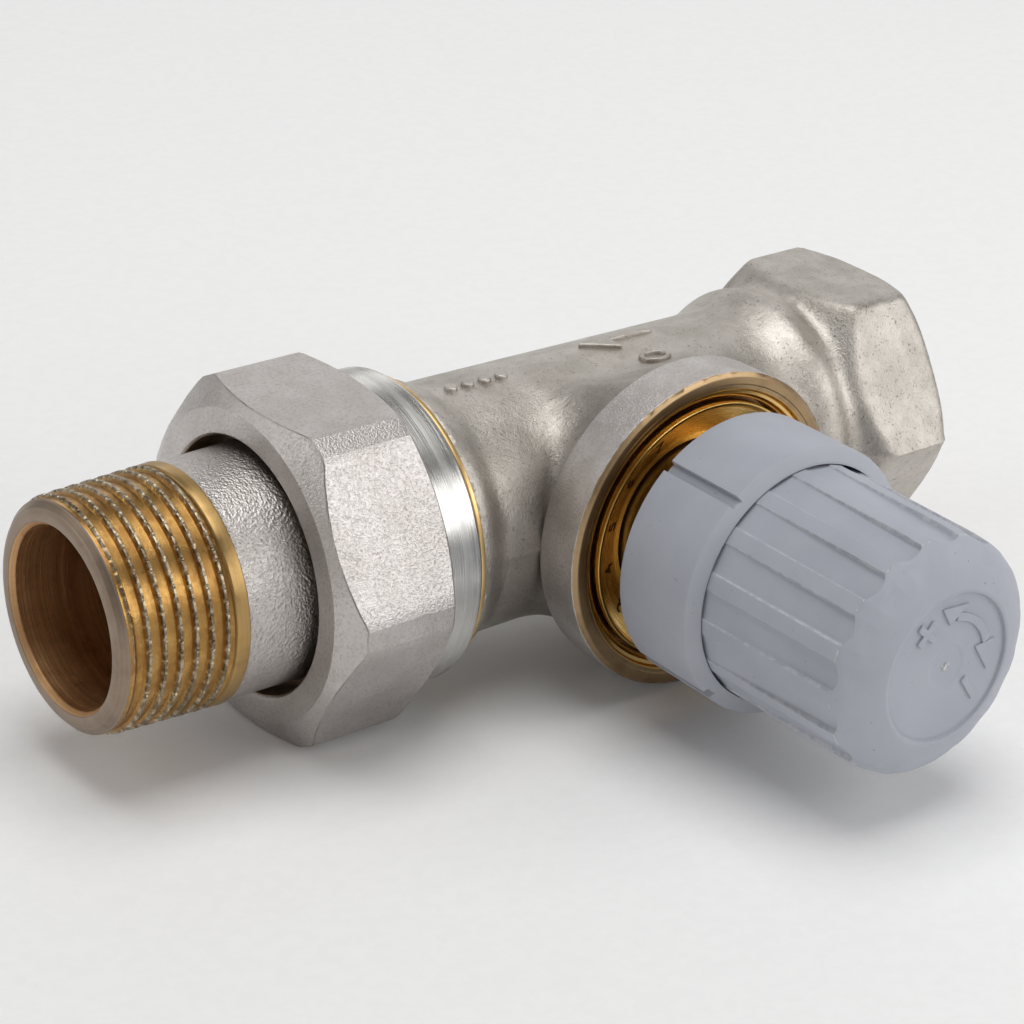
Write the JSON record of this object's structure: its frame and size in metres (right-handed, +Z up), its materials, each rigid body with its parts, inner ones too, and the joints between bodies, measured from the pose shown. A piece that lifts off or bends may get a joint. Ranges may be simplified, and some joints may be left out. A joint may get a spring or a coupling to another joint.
{
  "type": "thermostatic radiator valve",
  "caption": "Straight radiator valve: hexagon inlet, union tailpiece and nut, presetting ring, spring-loaded insert and a screw-down grey cap.",
  "frame": {"origin": "centre of the inlet mouth, on the pipe axis, in the plane of the inlet's end face", "axes": "+X along the pipe axis out of the inlet mouth; the boss and its cap point along -Y; +Z up"},
  "size_m": [0.11, 0.0792, 0.0376],
  "materials": {
    "forged_nickel": "forged brass, sandblasted and nickel plated, satin",
    "nut_nickel": "forged brass, coarse sandblasted nickel plate, turned bright collar",
    "tail_nickel": "sandblasted nickel plate with a bare machined brass thread and bore",
    "brass": "bare machined brass, polished by turning",
    "steel": "bright stainless steel",
    "spring_steel": "drawn stainless spring wire",
    "rubber": "black EPDM, matt",
    "cap_plastic": "matt blue-grey moulded plastic"
  },
  "bodies": {
    "valve": {"valve_body": "forged_nickel", "bonnet_ring": "brass", "bonnet_o_ring": "rubber", "cap_collar": "cap_plastic"},
    "presetting": {"setting_ring": "brass", "insert_neck": "brass", "insert_o_ring": "rubber", "throttle_cylinder": "brass", "guide_bush": "brass", "gland_washer": "steel", "gland_seal": "rubber", "gland_nut": "brass"},
    "stem": {"pressure_pin": "steel", "spindle": "brass", "spring_cup": "brass", "return_spring": "spring_steel", "valve_cone": "brass", "cone_seal": "rubber", "cone_washer": "brass", "cone_nut": "brass"},
    "handwheel": {"cap_handwheel": "cap_plastic"},
    "tail": {"tailpiece": "tail_nickel", "union_gasket": "rubber"},
    "nut": {"union_nut": "nut_nickel"}
  },
  "joints": [
    {"name": "presetting_turn", "type": "hinge", "parent": "valve", "child": "presetting", "pos_m": [-0.0408, -0.0187, 0], "axis": [0, 1, 0], "range_deg": [-120, 48]},
    {"name": "stem_stroke", "type": "slide", "parent": "valve", "child": "stem", "axis": [0, 1, 0], "range_m": [0, 0.0026], "deforming": ["return_spring"]},
    {"name": "handwheel_turn", "type": "hinge", "parent": "stem", "child": "handwheel", "pos_m": [-0.0408, -0.045, 0], "axis": [0, 1, 0], "range_deg": [0, 288]},
    {"name": "tail_slide", "type": "slide", "parent": "valve", "child": "tail", "axis": [-1, 0, 0], "range_m": [0, 0.0072]},
    {"name": "nut_turn", "type": "hinge", "parent": "tail", "child": "nut", "pos_m": [-0.0786, 0, 0], "axis": [-1, 0, 0], "range_deg": [0, 1080]}
  ],
  "couplings": [
    {"joint": "stem_stroke", "follows": "handwheel_turn", "m_per_rad": 0.0004775},
    {"joint": "tail_slide", "follows": "nut_turn", "m_per_rad": 0.00036756}
  ]
}
